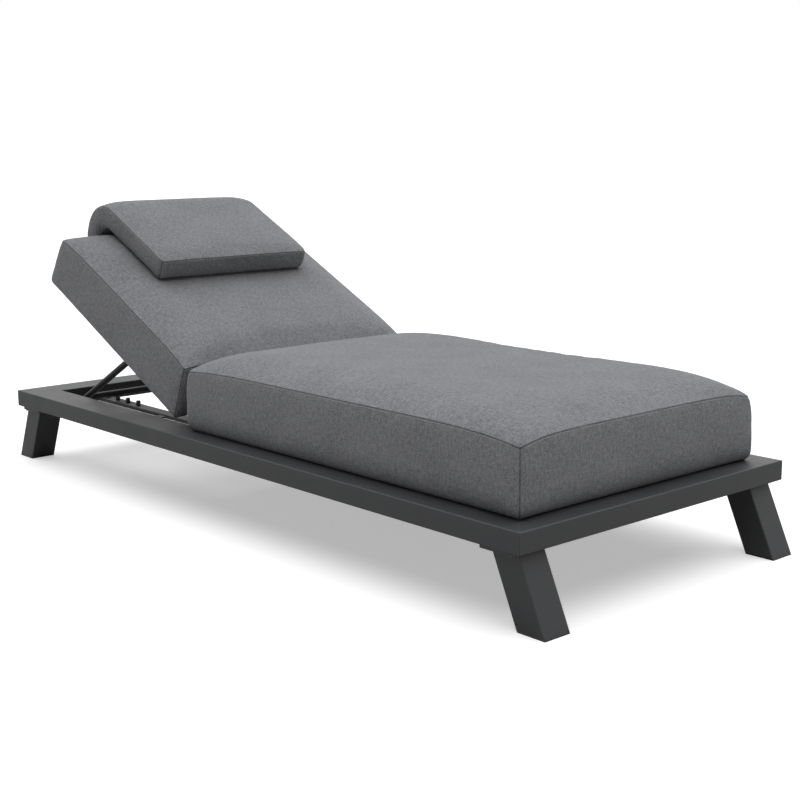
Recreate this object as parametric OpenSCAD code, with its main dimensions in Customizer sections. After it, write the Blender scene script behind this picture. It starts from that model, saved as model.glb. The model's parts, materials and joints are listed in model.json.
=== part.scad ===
// Spa relaxation lounger: a low metal frame on four splayed legs, a slatted deck,
// a seat cushion, a hinged back with its own cushion and prop, and a head pillow
// that hooks over the top of the back.
// +Z is up, +Y runs towards the head end, X crosses the width. The origin is on the
// floor under the middle of the frame. Left is -X, seen from the foot end.

/* [Frame] */
// Length of the frame over its end rails
frame_l = 2000; // [1960:5:2100]
// Width of the frame over its side rails
frame_w = 836; // [810:2:880]
// Height of the frame's top face above the floor
frame_h = 202; // [190:1:260]
// Width of a rail, seen from above
rail_w = 92; // [88:1:96]
// Depth of a rail
rail_t = 45; // [42:1:50]
// Wall of the rails and of the cross member
rail_wall = 2.5; // [2:0.1:3.5]
// Radius of the rails' long edges
rail_edge_r = 2.2; // [1:0.1:3]
// Width of the cross member that carries the hinges
cross_w = 40; // [34:1:44]

/* [Legs] */
// Width of a leg across the frame
leg_w = 70; // [56:1:74]
// Depth of a leg, square to its length
leg_d = 66; // [54:1:70]
// Lean of a leg away from upright
leg_lean = 24.2; // [18:0.2:27]
// Wall of a leg
leg_wall = 2.5; // [2:0.1:4]
// Radius of a leg's long edges
leg_edge_r = 2; // [1:0.1:3]
// Distance from the side of the frame to the outside of a leg
leg_inset = 20; // [18:1:26]
// How far a foot reaches beyond the end of the frame
leg_reach = 47; // [40:1:52]
// Thickness of a leg's mounting plate
plate_t = 8; // [5:0.5:10]
// How far a mounting plate reaches past its leg towards the middle of the frame
plate_ear = 20; // [16:0.5:26]
// How far a mounting plate reaches past its leg towards the end of the frame
plate_rim = 1; // [0:0.5:6]
// Distance from the side of the frame to a mounting plate
plate_inset = 6; // [4:0.5:6]
// Thickness of the cap under a leg
foot_cap_t = 4; // [3:0.5:8]
// Radius of a leg screw's shank
leg_screw_r = 3; // [2.5:0.1:4]
// Radius of a leg screw's head
leg_screw_head_r = 5.5; // [5:0.1:6]
// Height of a leg screw's head
leg_screw_head_h = 3.6; // [2.5:0.1:5]

/* [Seat deck] */
// Number of slats under the seat cushion
seat_slat_n = 8; // [8:1:8]
// Width of a seat slat
seat_slat_w = 80; // [60:1:95]
// Thickness of a seat slat
seat_slat_t = 15; // [12:0.5:20]
// Wall of a seat slat
slat_wall = 1.5; // [1:0.1:2.5]
// Leg of the angle that carries the slats
ledge_w = 25; // [20:1:32]
// Thickness of the angle that carries the slats
ledge_t = 3; // [2:0.5:4]

/* [Backrest frame] */
// Distance from the hinge axis to the head end of the frame
hinge_from_head = 776; // [766:1:790]
// Distance from the cross member to the hinge axis
hinge_reach = 20; // [17:0.5:24]
// Angle of the back above level, as it is set
back_angle = 25.8; // [18:0.1:30]
// Width of a back frame tube
back_tube_w = 25; // [22:0.5:28]
// Depth of a back frame tube
back_tube_t = 20; // [19:0.5:22]
// Wall of a back frame tube
back_tube_wall = 2; // [1.5:0.1:3]
// How far the side tubes reach behind the hinge axis
back_heel = 12; // [11:0.5:14]
// Distance from the hinge axis to the lower cross tube
back_low_tube_u = 30; // [26:1:34]
// Width of a back slat
back_slat_w = 50; // [40:1:56]
// Thickness of a back slat
back_slat_t = 8; // [6:0.5:9]

/* [Hinge] */
// Radius of a hinge bolt
hinge_bolt_r = 5; // [4.5:0.1:5.5]
// Wall of the bush in the side tube
bush_wall = 1.5; // [1:0.1:2]
// Thickness of a bush's flange
bush_flange_t = 1.5; // [1:0.1:2]
// Thickness of a hinge ear
ear_t = 6; // [5:0.5:7]
// Radius of a hinge ear round the bolt
ear_r = 10; // [9:0.1:10]
// Radius of a hinge bolt's head and nut
hinge_head_r = 8.5; // [7.5:0.1:9]
// Height of a hinge bolt's head and nut
hinge_head_h = 6; // [4:0.5:7]

/* [Prop] */
// Radius of the prop's tube
prop_r = 9; // [8:0.1:9.2]
// Wall of the prop's tube
prop_wall = 2; // [1.5:0.1:3]
// Share of the folded prop's reach that lies between the hinge and the prop's bolt
prop_share = 0.523; // [0.515:0.001:0.53]
// Radius of a prop bolt
prop_bolt_r = 4; // [3.5:0.1:5]
// Radius of a prop bolt's head and nut
prop_head_r = 6.5; // [6:0.1:7.5]
// Height of a prop bolt's head and nut
prop_head_h = 5; // [4:0.5:6]
// Thickness of the spacer between a side tube and an arm
spacer_t = 7; // [5:0.5:9]
// Room between an arm and the side rail
prop_side_gap = 17; // [14:0.5:20]
// Thickness of the end cap on an arm
prop_cap_t = 3; // [2:0.5:4]

/* [Rack] */
// Distance from the middle of the frame to the middle of a rack bar
rack_x = 192; // [180:1:210]
// Width of a rack bar
rack_w = 36; // [30:1:44]
// Thickness of a rack bar
rack_t = 10; // [8:0.5:12]
// Number of studs on a rack bar
stud_n = 4; // [2:1:4]
// Radius of a stud
stud_r = 6.5; // [5:0.1:8]
// Distance from stud to stud
stud_pitch = 57; // [45:1:60]

/* [Seat and back cushions] */
// Distance from the side of the frame to the seat cushion
seat_cushion_side = 47; // [40:1:60]
// Distance from the side of the frame to the back cushion
back_cushion_side = 54; // [46:1:66]
// Height of the seat cushion at the corners of its top seam
seat_edge_h = 146; // [120:1:170]
// Height of the back cushion at the corners of its top seam
back_edge_h = 144; // [120:1:170]
// Rise of the seat cushion's top seam between its corners
seat_arch = 12.5; // [4:0.5:20]
// Rise of the back cushion's top seam between its corners
back_arch = 9; // [4:0.5:16]
// Rise of the seat cushion's top above the seam
seat_crown = 42; // [20:1:60]
// Rise of the back cushion's top above the seam
back_crown = 28; // [12:1:36]
// Distance from the foot end of the frame to the seat cushion
seat_from_foot = 45; // [36:1:70]
// Distance from the hinge axis back to the seat cushion's head end
seat_from_hinge = 41; // [38:1:54]
// Distance from the hinge axis up the back to the back cushion
back_cushion_from = 33; // [30:1:42]
// Length of the back cushion along its underside
back_cushion_l = 698; // [676:1:704]
// How far the back cushion's lower end leans in at the seam
back_low_lean = 9; // [4:1:16]
// How far the back cushion's upper end leans in at the seam
back_high_lean = 17; // [8:1:24]
// Radius of a cushion's bottom edges
cushion_edge_r = 10; // [6:1:18]
// Radius of a cushion's upright corners
cushion_corner_r = 16; // [10:1:28]
// How far a cushion's sides are drawn in at its top seam
seam_in = 3; // [1:0.5:6]

/* [Head pillow] */
// Width of the pillow
pillow_w = 486; // [420:2:560]
// Thickness of the pillow at its seams
pillow_t = 59; // [50:1:70]
// Rise of the pillow's top in the middle
pillow_crown = 11; // [4:1:14]
// Reach of the pillow down the back, from the end of the back cushion
pillow_reach = 322; // [280:2:350]
// Inner radius of the pillow's hook
hook_r = 32; // [28:1:36]
// Straight length of the hook behind the back cushion
hook_drop = 48; // [30:1:60]
// Radius of the pillow's edges
pillow_edge_r = 9; // [6:1:14]

/* [Hidden] */
$fn = 48;

// Small clearances and overruns
fit_gap = 0.05;      // a bolt or bush in its hole
seat_gap = 0.3;      // a cushion above what it lies on
slat_end_gap = 0.5;  // a slat's end beside the rail
plug_gap = 0.2;      // a plug inside its tube
weld_gap = 0.1;      // the prop's foot bar beside its arm
ear_gap = 0.5;       // a bush's flange beside the hinge ear
prop_lift_gap = 2;   // the prop's foot bar above the studs
prop_fold_gap = 16;  // the folded prop's foot bar before the head rail
back_end_gap = 6;    // the back frame's end before the folded foot bar
back_rest_gap = 0.5; // the flat back above its brackets
pillow_gap = 1.5;    // the pillow's hook behind the back cushion
pillow_lift = 0.6;   // the pillow above the back cushion's crown
overrun = 1;         // cuts run past the faces by this much

// Frame
half_l = frame_l / 2;
half_w = frame_w / 2;
inner_hw = half_w - rail_w;
inner_hl = half_l - rail_w;
rail_z = frame_h - rail_t;
rail_mid_z = frame_h - rail_t / 2;

// Legs
leg_top_z = rail_z - plate_t;
leg_section = leg_d / cos(leg_lean);
leg_foot_y = half_l + leg_reach - leg_section / 2;
leg_head_y = leg_foot_y - leg_top_z * tan(leg_lean);
leg_x = half_w - leg_inset - leg_w / 2;
plate_w = rail_w - plate_inset;
plate_l = leg_section + plate_ear + plate_rim;
plate_x = half_w - plate_inset - plate_w / 2;
plate_y = leg_head_y - (plate_ear - plate_rim) / 2;
plate_corner_r = 4;
plate_hole_r = leg_screw_r + fit_gap;
leg_screw_reach = 9;
leg_screw_ear_y = leg_head_y - (leg_section + plate_ear) / 2;
leg_screw_side_x = half_w - (plate_inset + leg_inset) / 2;
leg_screw_side_y = leg_head_y + leg_section / 2 - 2 * leg_screw_head_r;
leg_screw_spots = [
    [plate_x - plate_w / 4, leg_screw_ear_y],
    [plate_x + plate_w / 4, leg_screw_ear_y],
    [leg_screw_side_x, leg_screw_side_y]
];
leg_screw_slot_w = 1.2;
leg_screw_slot_t = 1.4;
foot_plug_h = 14;

// Seat deck
slat_z = frame_h - seat_slat_t;
slat_l = 2 * (inner_hw - slat_end_gap);
slat_edge_r = 2;
cross_y = half_l - hinge_from_head - hinge_reach - cross_w / 2;
deck_y0 = -inner_hl;
deck_y1 = cross_y - cross_w / 2;
slat_step = (deck_y1 - deck_y0) / seat_slat_n;

// Hinge axis and the back's own directions, u up the back and n out of it
pivot_y = half_l - hinge_from_head;
pivot_z = frame_h - back_tube_t / 2;
prop_x = inner_hw - prop_side_gap - prop_r;
back_hw = prop_x - prop_r - spacer_t;
back_in_x = back_hw - back_tube_w;
ear_x = back_hw + bush_flange_t + ear_gap;
bush_r = hinge_bolt_r + fit_gap + bush_wall;
bush_flange_r = bush_r + 3;
ear_foot = 30;

// Prop: its bolt sits at prop_u up the back, its foot bar at the hinge axis' height
prop_total = hinge_from_head - rail_w - prop_r - prop_fold_gap;
prop_u = prop_share * prop_total;
prop_l = prop_total - prop_u;
prop_angle = asin(prop_u * sin(back_angle) / prop_l);
prop_bolt_y = pivot_y + prop_u * cos(back_angle);
prop_bolt_z = pivot_z + prop_u * sin(back_angle);
prop_foot_y = prop_bolt_y + prop_l * cos(prop_angle);
prop_foot_over = 4;
prop_plug_h = 8;
back_l = prop_total - prop_r - back_end_gap;
back_slat_n = 4;
back_slat_from = back_low_tube_u + back_tube_w;
back_slat_step = (back_l - back_tube_w - back_slat_from) / (back_slat_n + 1);
back_slat_edge_r = 1.5;
back_tube_edge_r = 1.5;

// Rack
rack_y0 = cross_y + cross_w / 2;
rack_top_z = rail_z + rack_t;
stud_h = pivot_z - prop_r - prop_lift_gap - rack_top_z;
stud_stop_y = prop_foot_y + prop_r + stud_r;
stud_chamfer = 1;
studs_behind = 1;

// Brackets that the flat back lies on
bracket_l = 30;
bracket_t = 3;
bracket_h = 22;
bracket_share = 0.36;
bracket_y = pivot_y + bracket_share * back_l;
bracket_top_z = pivot_z - back_tube_t / 2 - back_rest_gap;

// Cushions
seat_y0 = -half_l + seat_from_foot;
seat_y1 = pivot_y - seat_from_hinge;
arch_power = 6;
crown_power = 8;
crown_shares = [0.985, 0.96, 0.92, 0.86, 0.78, 0.65, 0.4];
round_steps = 4;
corner_steps = 5;
side_steps = 6;
side_shares = [0.4, 0.7, 0.88];

// Head pillow
back_base_n = back_tube_t / 2 + seat_gap;
pillow_n = back_base_n + back_edge_h + back_arch + back_crown + pillow_lift;
hook_n = pillow_n - hook_r;
hook_share = (hook_n - hook_drop - back_base_n) / back_edge_h;
pillow_end_u = back_cushion_from + back_cushion_l - hook_share * back_high_lean;
hook_u = pillow_end_u + pillow_gap - hook_r;
hook_mid_r = hook_r + pillow_t / 2;
pillow_front_u = pillow_end_u - pillow_reach;
pillow_run = hook_u - pillow_front_u;
pillow_run_steps = 6;
hook_steps = 10;
pillow_power = 5;

steel = [0.25, 0.255, 0.265];
black = [0.06, 0.06, 0.065];
nylon = [0.1, 0.1, 0.105];
fabric = [0.42, 0.42, 0.435];

// A rectangle with four rounded corners, about the origin
module rounded_rect(w, h, r) {
    square([w - 2 * r, h], center = true);
    square([w, h - 2 * r], center = true);
    for (sx = [-1, 1], sy = [-1, 1])
        translate([sx * (w / 2 - r), sy * (h / 2 - r)]) circle(r = r);
}

// The wall of a rectangular tube, seen along it
module tube_section(w, h, r, wall) {
    difference() {
        rounded_rect(w, h, r);
        square([w - 2 * wall, h - 2 * wall], center = true);
    }
}

// A tube along Y between y0 and y1
module tube_along_y(y0, y1, w, h, r, wall) {
    translate([0, y1, 0]) rotate([90, 0, 0])
        linear_extrude(height = y1 - y0) tube_section(w, h, r, wall);
}

// A tube along X, centred
module tube_along_x(l, w, h, r, wall) {
    rotate([0, 0, 90]) tube_along_y(-l / 2, l / 2, w, h, r, wall);
}

// A cylinder along X from x0 to x1
module rod_along_x(x0, x1, r) {
    translate([x0, 0, 0]) rotate([0, 90, 0]) cylinder(h = x1 - x0, r = r);
}

// Mirrors what follows to the left side or the foot end where the sign is negative
module at_side(sx) {
    if (sx < 0) mirror([1, 0, 0]) children();
    else children();
}

module at_end(sy) {
    if (sy < 0) mirror([0, 1, 0]) children();
    else children();
}

// Puts what follows into the back's own frame: Y up the back, Z out of it
module on_back() {
    translate([0, pivot_y, pivot_z]) rotate([back_angle, 0, 0]) children();
}

// Where the leg screws pass, at all four corners
module leg_screw_places() {
    for (sx = [-1, 1], sy = [-1, 1], spot = leg_screw_spots)
        translate([sx * spot[0], sy * spot[1], 0]) children();
}

module leg_screw_holes() {
    leg_screw_places() translate([0, 0, leg_top_z - overrun])
        cylinder(h = plate_t + rail_wall + 2 * overrun, r = plate_hole_r);
}

// Frame rails, mitred at the corners
module side_rail(sx) {
    color(steel) at_side(sx) difference() {
        intersection() {
            translate([half_w - rail_w / 2, 0, rail_mid_z])
                tube_along_y(-half_l, half_l, rail_w, rail_t, rail_edge_r, rail_wall);
            translate([0, 0, rail_z - overrun]) linear_extrude(height = rail_t + 2 * overrun)
                polygon([
                    [half_w, -half_l], [half_w, half_l],
                    [inner_hw, inner_hl], [inner_hw, -inner_hl]
                ]);
        }
        leg_screw_holes();
    }
}

module end_rail(sy) {
    color(steel) at_end(sy) difference() {
        intersection() {
            translate([0, half_l - rail_w / 2, rail_mid_z])
                tube_along_x(frame_w, rail_w, rail_t, rail_edge_r, rail_wall);
            translate([0, 0, rail_z - overrun]) linear_extrude(height = rail_t + 2 * overrun)
                polygon([
                    [half_w, half_l], [-half_w, half_l],
                    [-inner_hw, inner_hl], [inner_hw, inner_hl]
                ]);
        }
        leg_screw_holes();
    }
}

module hinge_cross_member() {
    color(steel) translate([0, cross_y, rail_mid_z])
        tube_along_x(2 * inner_hw, cross_w, rail_t, rail_edge_r, rail_wall);
}

// A slice of the leaning leg's outline between two heights, w by d square to its length
module leg_slice(w, d, r, z0, z1) {
    lean_l = (leg_top_z + leg_section) / cos(leg_lean);
    intersection() {
        translate([leg_x, leg_foot_y, 0]) rotate([leg_lean, 0, 0])
            translate([0, 0, -leg_section]) linear_extrude(height = lean_l + 2 * leg_section)
                rounded_rect(w, d, r);
        translate([leg_x - leg_w, leg_head_y - leg_top_z, z0])
            cube([2 * leg_w, leg_foot_y - leg_head_y + 2 * leg_top_z, z1 - z0]);
    }
}

module leg(sx, sy) {
    color(steel) at_side(sx) at_end(sy) difference() {
        leg_slice(leg_w, leg_d, leg_edge_r, foot_cap_t, leg_top_z);
        leg_slice(leg_w - 2 * leg_wall, leg_d - 2 * leg_wall, leg_edge_r / 2,
            foot_cap_t - overrun, leg_top_z + overrun);
    }
}

// The cap that closes a leg and stands on the floor, with a plug inside the leg
module foot_cap(sx, sy) {
    plug_w = leg_w - 2 * (leg_wall + plug_gap);
    plug_d = leg_d - 2 * (leg_wall + plug_gap);
    color(nylon) at_side(sx) at_end(sy) {
        leg_slice(leg_w, leg_d, leg_edge_r, 0, foot_cap_t);
        leg_slice(plug_w, plug_d, leg_edge_r / 2, foot_cap_t / 2, foot_cap_t + foot_plug_h);
    }
}

module leg_plate(sx, sy) {
    color(steel) difference() {
        translate([sx * plate_x, sy * plate_y, leg_top_z]) linear_extrude(height = plate_t)
            rounded_rect(plate_w, plate_l, plate_corner_r);
        leg_screw_holes();
    }
}

module leg_screws(sx, sy) {
    color(black) for (spot = leg_screw_spots)
        translate([sx * spot[0], sy * spot[1], leg_top_z]) difference() {
            union() {
                cylinder(h = plate_t + rail_wall + leg_screw_reach, r = leg_screw_r);
                translate([0, 0, -leg_screw_head_h])
                    cylinder(h = leg_screw_head_h, r = leg_screw_head_r);
            }
            translate([0, 0, -leg_screw_head_h]) cube(
                [leg_screw_slot_w, 2 * leg_screw_head_r, 2 * leg_screw_slot_t], center = true);
        }
}

// The angle on a side rail's inside that the seat slats lie on
module slat_ledge(sx) {
    color(steel) at_side(sx) translate([inner_hw, deck_y0, slat_z]) {
        translate([-ledge_w, 0, -ledge_t]) cube([ledge_w, deck_y1 - deck_y0, ledge_t]);
        translate([-ledge_t, 0, -ledge_w]) cube([ledge_t, deck_y1 - deck_y0, ledge_w]);
    }
}

module seat_slat(i) {
    color(steel) translate([0, deck_y0 + (i - 1 / 2) * slat_step, slat_z + seat_slat_t / 2])
        tube_along_x(slat_l, seat_slat_w, seat_slat_t, slat_edge_r, slat_wall);
}

// The bars beside the opening under the back, with the studs that stop the prop's foot
module rack_bar(sx) {
    color(steel) translate([sx * rack_x - rack_w / 2, rack_y0, rail_z])
        cube([rack_w, inner_hl - rack_y0, rack_t]);
}

module rack_studs(sx) {
    color(black) for (i = [0 : stud_n - 1])
        translate([sx * rack_x, stud_stop_y + (i + studs_behind - stud_n + 1) * stud_pitch, rack_top_z]) {
            cylinder(h = stud_h - stud_chamfer, r = stud_r);
            translate([0, 0, stud_h - stud_chamfer])
                cylinder(h = stud_chamfer, r1 = stud_r, r2 = stud_r - stud_chamfer);
        }
}

// The bracket under a side tube that carries the back when it lies flat
module back_rest_bracket(sx) {
    reach = inner_hw - back_in_x;
    color(steel) at_side(sx) translate([inner_hw - reach, bracket_y, bracket_top_z]) {
        translate([0, 0, -bracket_t]) cube([reach, bracket_l, bracket_t]);
        translate([reach - bracket_t, 0, -bracket_h]) cube([bracket_t, bracket_l, bracket_h]);
    }
}

// The plate welded to the cross member, with the hole for the hinge bolt
module hinge_ear(sx) {
    color(steel) at_side(sx) translate([ear_x, 0, 0])
        rotate([90, 0, 90]) linear_extrude(height = ear_t) difference() {
            union() {
                translate([pivot_y, pivot_z]) circle(r = ear_r);
                translate([pivot_y - hinge_reach, pivot_z - ear_r])
                    square([hinge_reach, 2 * ear_r]);
                polygon([
                    [pivot_y - hinge_reach, pivot_z - ear_foot],
                    [pivot_y, pivot_z - ear_r],
                    [pivot_y - hinge_reach, pivot_z - ear_r]
                ]);
            }
            translate([pivot_y, pivot_z]) circle(r = hinge_bolt_r + fit_gap);
        }
}

module hinge_bolts() {
    color(black) for (sx = [-1, 1]) at_side(sx) translate([0, pivot_y, pivot_z]) {
        rod_along_x(back_in_x - hinge_head_h, ear_x + ear_t, hinge_bolt_r);
        rod_along_x(ear_x + ear_t, ear_x + ear_t + hinge_head_h, hinge_head_r);
    }
}

// A nut on the inner end of each hinge bolt
module hinge_nuts() {
    color(black) for (sx = [-1, 1]) at_side(sx) translate([0, pivot_y, pivot_z])
        difference() {
            rod_along_x(back_in_x - hinge_head_h - fit_gap, back_in_x - fit_gap, hinge_head_r);
            rod_along_x(back_in_x - 2 * hinge_head_h, back_in_x, hinge_bolt_r + fit_gap);
        }
}

// A flanged bush in each side tube, running on the hinge bolt
module hinge_bushes() {
    color(nylon) for (sx = [-1, 1]) at_side(sx) translate([0, pivot_y, pivot_z])
        difference() {
            union() {
                rod_along_x(back_in_x, back_hw, bush_r);
                rod_along_x(back_hw, back_hw + bush_flange_t, bush_flange_r);
            }
            rod_along_x(back_in_x - overrun, back_hw + bush_flange_t + overrun,
                hinge_bolt_r + fit_gap);
        }
}

// Back frame, set at the angle of the back
module back_side_tube(sx) {
    color(steel) at_side(sx) on_back() difference() {
        translate([back_hw - back_tube_w / 2, 0, 0])
            tube_along_y(-back_heel, back_l, back_tube_w, back_tube_t,
                back_tube_edge_r, back_tube_wall);
        rod_along_x(back_in_x - overrun, back_hw + overrun, bush_r + fit_gap);
        translate([0, prop_u, 0])
            rod_along_x(back_in_x - overrun, back_hw + overrun, prop_bolt_r + fit_gap);
    }
}

module back_cross_tube(u) {
    color(steel) on_back() translate([0, u + back_tube_w / 2, 0])
        tube_along_x(2 * back_in_x, back_tube_w, back_tube_t, back_tube_edge_r, back_tube_wall);
}

module back_low_tube() { back_cross_tube(back_low_tube_u); }

module back_top_tube() { back_cross_tube(back_l - back_tube_w); }

module back_slat(i) {
    color(steel) on_back()
        translate([0, back_slat_from + i * back_slat_step, (back_tube_t - back_slat_t) / 2])
            tube_along_x(2 * back_in_x, back_slat_w, back_slat_t, back_slat_edge_r, slat_wall);
}

// Puts what follows at the prop's bolt, with Y down the prop towards its foot
module on_prop() {
    translate([0, prop_bolt_y, prop_bolt_z]) rotate([-prop_angle, 0, 0]) children();
}

// An arm of the prop: a tube with a solid eye across its upper end for the bolt
module prop_arm(sx) {
    arm_l = prop_l + prop_foot_over;
    color(black) at_side(sx) on_prop() translate([prop_x, 0, 0]) difference() {
        union() {
            rod_along_x(-prop_r, prop_r, prop_r);
            rotate([-90, 0, 0]) cylinder(h = arm_l, r = prop_r);
        }
        translate([0, prop_r, 0]) rotate([-90, 0, 0])
            cylinder(h = arm_l, r = prop_r - prop_wall);
        rod_along_x(-prop_r - overrun, prop_r + overrun, prop_bolt_r + fit_gap);
    }
}

// The bar between the arms' lower ends, shaped to their round sides
module prop_foot_bar() {
    color(black) on_prop() translate([0, prop_l, 0]) difference() {
        rod_along_x(-prop_x, prop_x, prop_r);
        rod_along_x(-prop_x - overrun, prop_x + overrun, prop_r - prop_wall);
        for (sx = [-1, 1]) translate([sx * prop_x, 2 * prop_r, 0]) rotate([90, 0, 0])
            cylinder(h = 4 * prop_r, r = prop_r + weld_gap);
    }
}

// The cap in the lower end of each arm
module prop_end_caps() {
    color(nylon) for (sx = [-1, 1]) at_side(sx) on_prop()
        translate([prop_x, prop_l + prop_foot_over, 0]) {
            rotate([-90, 0, 0]) cylinder(h = prop_cap_t, r1 = prop_r, r2 = prop_r - prop_wall);
            rotate([90, 0, 0]) cylinder(h = prop_plug_h, r = prop_r - prop_wall - plug_gap);
        }
}

module prop_bolts() {
    head_x = prop_x + prop_r + fit_gap;
    color(black) for (sx = [-1, 1]) at_side(sx) on_prop() {
        rod_along_x(back_in_x - prop_head_h, head_x, prop_bolt_r);
        rod_along_x(head_x, head_x + prop_head_h, prop_head_r);
    }
}

module prop_nuts() {
    color(black) for (sx = [-1, 1]) at_side(sx) on_prop() difference() {
        rod_along_x(back_in_x - prop_head_h, back_in_x, prop_head_r);
        rod_along_x(back_in_x - 2 * prop_head_h, back_in_x + overrun, prop_bolt_r + fit_gap);
    }
}

module prop_spacers() {
    color(nylon) for (sx = [-1, 1]) at_side(sx) on_prop() difference() {
        rod_along_x(back_hw, back_hw + spacer_t - fit_gap, prop_head_r);
        rod_along_x(back_hw - overrun, back_hw + spacer_t + overrun, prop_bolt_r + fit_gap);
    }
}

// Closed skin over a stack of rings of equal length, capped by its first and last point
module ring_skin(rings, start, end) {
    m = len(rings[0]);
    k = len(rings);
    points = concat([start], [for (r = rings) for (p = r) p], [end]);
    faces = concat(
        [for (i = [0 : m - 1]) [0, 1 + i, 1 + (i + 1) % m]],
        [for (j = [0 : k - 2], i = [0 : m - 1])
            let (a = 1 + j * m + i, b = 1 + j * m + (i + 1) % m) [a, a + m, b + m]],
        [for (j = [0 : k - 2], i = [0 : m - 1])
            let (a = 1 + j * m + i, b = 1 + j * m + (i + 1) % m) [a, b + m, b]],
        [for (i = [0 : m - 1])
            [1 + k * m, 1 + (k - 1) * m + (i + 1) % m, 1 + (k - 1) * m + i]]
    );
    polyhedron(points = points, faces = faces, convexity = 4);
}

// A rectangle's outline with round corners. It runs anticlockwise from the +X side, by
// corner c: an arc, then the side that follows it, with its points closer at its ends.
function outline(hw, hl, r) = [
    for (c = [0 : 3])
        let (
            corner = [[1, 1], [-1, 1], [-1, -1], [1, -1]][c],
            next = [[-1, 1], [-1, -1], [1, -1], [1, 1]][c],
            centre = [corner[0] * (hw - r), corner[1] * (hl - r)],
            after = [next[0] * (hw - r), next[1] * (hl - r)],
            side_out = [cos(90 * (c + 1)), sin(90 * (c + 1))]
        )
        for (k = [0 : corner_steps + side_steps - 1])
            k <= corner_steps
                ? centre + r * [cos(90 * (c + k / corner_steps)), sin(90 * (c + k / corner_steps))]
                : let (s = (1 - cos(180 * (k - corner_steps) / side_steps)) / 2)
                    centre + s * (after - centre) + r * side_out
];

// A ring of a cushion at height z, drawn in from its full size by inset. It rises by arch
// between the corners. A share below 1 makes it a ring of the top, which rises to the
// crown in the middle.
function cushion_ring(hw, y0, y1, z, inset, lean0, lean1, share, arch, crown) =
    let (
        hl = (y1 - y0 - lean0 - lean1) / 2 - inset,
        mid = (y0 + lean0 + y1 - lean1) / 2
    )
    [for (p = outline(hw - inset, hl, cushion_corner_r))
        let (x = share * p[0], y = share * p[1], xs = x / (hw - inset), ys = y / hl)
        [x, mid + y, z + arch * fall(xs * ys, arch_power)
            + crown * fall(xs, crown_power) * fall(ys, crown_power)]];

// 1 in the middle, falling to 0 where s reaches 1
function fall(s, power) = 1 - pow(min(1, abs(s)), power);

// A box cushion: flat underneath, with round bottom edges, upright sides that draw in to
// the seam, and a crowned top. It lies along Y from y0 to y1, and its ends lean in.
module box_cushion(hw, y0, y1, edge_h, arch, crown, lean0, lean1) {
    r = cushion_edge_r;
    mid = (y0 + lean0 + y1 - lean1) / 2;
    bottom = [for (i = [0 : round_steps]) let (a = 90 * i / round_steps)
        [r * (1 - cos(a)), r * (1 - sin(a))]];
    sides = [for (s = concat(side_shares, [1]))
        [r + s * (edge_h - r), seam_in * pow(s, arch_power)]];
    rings = concat(
        [for (p = concat(bottom, sides)) let (s = p[0] / edge_h)
            cushion_ring(hw, y0, y1, p[0], p[1], lean0 * s, lean1 * s, 1, arch * s, 0)],
        [for (f = crown_shares)
            cushion_ring(hw, y0, y1, edge_h, seam_in, lean0, lean1, f, arch, crown)]
    );
    ring_skin(rings, [0, (y0 + y1) / 2, 0], [0, mid, edge_h + arch + crown]);
}

module seat_cushion() {
    color(fabric) translate([0, 0, frame_h + seat_gap])
        box_cushion(half_w - seat_cushion_side, seat_y0, seat_y1,
            seat_edge_h, seat_arch, seat_crown, 0, 0);
}

module back_cushion() {
    color(fabric) on_back() translate([0, 0, back_base_n])
        box_cushion(half_w - back_cushion_side,
            back_cushion_from, back_cushion_from + back_cushion_l,
            back_edge_h, back_arch, back_crown, back_low_lean, back_high_lean);
}

// The middle line of the pillow: up the back, then over its end in a half bend
function pillow_line() = concat(
    [for (i = [0 : pillow_run_steps]) [
        pillow_front_u + pillow_edge_r
            + (pillow_run - pillow_edge_r) * i / pillow_run_steps,
        hook_n + hook_mid_r, 0
    ]],
    [for (i = [1 : hook_steps]) let (a = 90 * i / hook_steps)
        [hook_u + hook_mid_r * sin(a), hook_n + hook_mid_r * cos(a), a]],
    [[hook_u + hook_mid_r, hook_n - hook_drop + pillow_edge_r, 90]]
);

// One ring of the pillow round its middle line, at place q = [u, n, turn], drawn in by
// inset. Its outer face rises to a crown in the middle of the width.
function pillow_ring(q, shift, inset) =
    let (
        hw = pillow_w / 2,
        u = q[0] + shift * cos(q[2]),
        n = q[1] - shift * sin(q[2])
    )
    [for (p = outline(hw - inset, pillow_t / 2 - inset, pillow_edge_r))
        let (
            rise = p[1] > 0 ? pillow_crown * fall(p[0] / hw, pillow_power) : 0,
            t = p[1] + rise * (1 - inset / pillow_edge_r)
        )
        [p[0], u + t * sin(q[2]), n + t * cos(q[2])]];

module head_pillow() {
    line = pillow_line();
    last = line[len(line) - 1];
    r = pillow_edge_r;
    // The ends are rounded by rings that step out and draw in
    ends = [for (i = [0 : round_steps]) let (a = 90 * i / round_steps)
        [r * sin(a), r / 2 * (1 - cos(a))]];
    rings = concat(
        [for (i = [round_steps : -1 : 1]) pillow_ring(line[0], -ends[i][0], ends[i][1])],
        [for (q = line) pillow_ring(q, 0, 0)],
        [for (i = [1 : round_steps]) pillow_ring(last, ends[i][0], ends[i][1])]
    );
    color(fabric) on_back() ring_skin(
        rings,
        [0, line[0][0] - r, line[0][1]],
        [0, last[0], last[1] - r]
    );
}

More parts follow.
